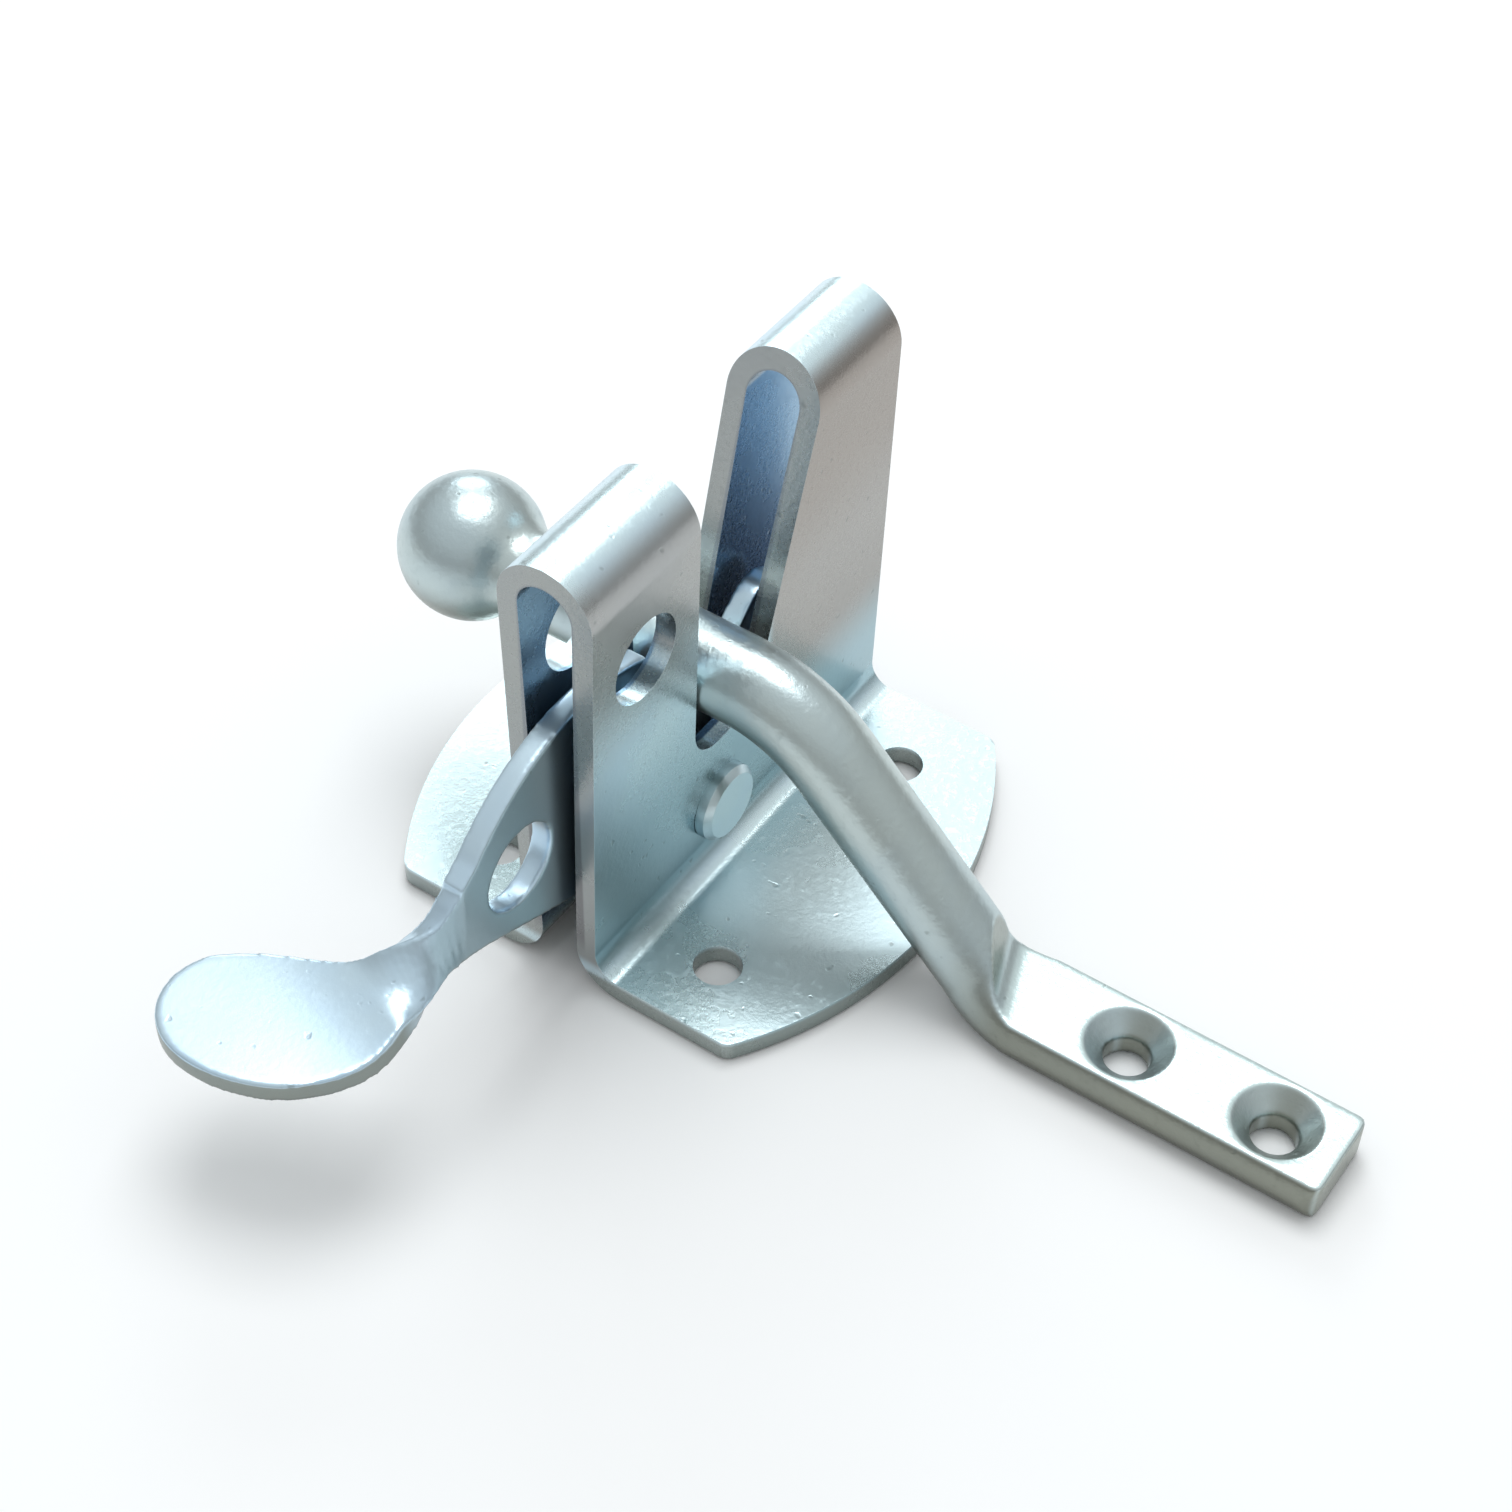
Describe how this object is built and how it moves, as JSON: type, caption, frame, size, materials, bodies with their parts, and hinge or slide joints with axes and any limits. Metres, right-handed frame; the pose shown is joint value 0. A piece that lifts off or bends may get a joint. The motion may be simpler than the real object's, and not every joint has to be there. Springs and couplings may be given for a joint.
{
  "type": "gate latch",
  "caption": "Automatic gate latch: a folded plate with a notched channel and a twisted thumb pawl, with a cranked ball-ended striker bar.",
  "frame": {"origin": "centre of the four plate screw holes, on the underside of the plate", "axes": "+Z out of the mounting plate, +Y along the channel from the pawl's tail to the rear tower, +X across the channel towards the flat end of the striker bar"},
  "size_m": [0.1201, 0.0981, 0.0596],
  "materials": {
    "latch_body": "bright zinc plated pressed sheet",
    "pawl": "bright zinc plated pressed plate",
    "pivot_rivet": "bright zinc plated",
    "striker_bar": "bright zinc plated forged bar"
  },
  "bodies": {
    "latch": {"latch_body": "latch_body", "pivot_rivet": "pivot_rivet"},
    "pawl": {"pawl": "pawl"},
    "striker": {"striker_bar": "striker_bar"}
  },
  "joints": [
    {"name": "pawl_pivot", "type": "hinge", "parent": "latch", "child": "pawl", "pos_m": [0, -0.0039, 0.0102], "axis": [-1, 0, 0], "range_deg": [0, 34]},
    {"name": "striker_lift", "type": "slide", "parent": "latch", "child": "striker", "axis": [0, 0, 1], "range_m": [0, 0.06]}
  ]
}
